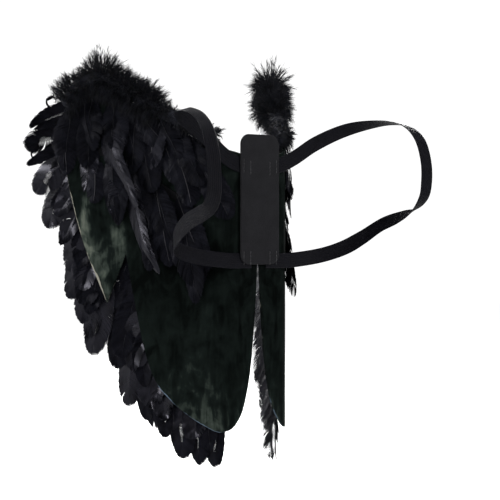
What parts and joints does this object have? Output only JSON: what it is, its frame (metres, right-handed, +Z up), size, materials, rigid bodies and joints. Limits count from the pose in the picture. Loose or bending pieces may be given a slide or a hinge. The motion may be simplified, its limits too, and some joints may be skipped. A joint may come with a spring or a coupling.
{
  "type": "feather costume wings",
  "caption": "Black feather costume wings: stiff two-lobed boards with layered feathers and a fluffy boa along the top, worn on the back by elastic shoulder loops.",
  "frame": {"origin": "middle of the back panel's front face, where it sits between the wearer's shoulder blades", "axes": "+Z up along the wearer's spine, -Y the way the wearer faces, +X to the wearer's left"},
  "size_m": [0.3972, 0.3927, 0.5469],
  "materials": {
    "panel_felt": "matt black felt",
    "painted_board": "dark green-grey brushed paint, worn pale at the cut edge",
    "feather": "black dyed feather with a soft sheen",
    "down": "black fluffy down, matt",
    "elastic": "black ribbed elastic"
  },
  "bodies": {
    "root": {"back_panel": "panel_felt", "board_right": "painted_board", "edge_upper_feathers_right": "feather", "edge_lower_feathers_right": "feather", "second_feathers_right": "feather", "third_feathers_right": "feather", "shoulder_feathers_right": "feather", "front_long_feathers_right": "feather", "front_short_feathers_right": "feather", "boa_right": "down", "strap_right": "elastic", "board_left": "painted_board", "edge_upper_feathers_left": "feather", "edge_lower_feathers_left": "feather", "second_feathers_left": "feather", "third_feathers_left": "feather", "shoulder_feathers_left": "feather", "front_long_feathers_left": "feather", "front_short_feathers_left": "feather", "boa_left": "down", "strap_left": "elastic"}
  },
  "joints": []
}
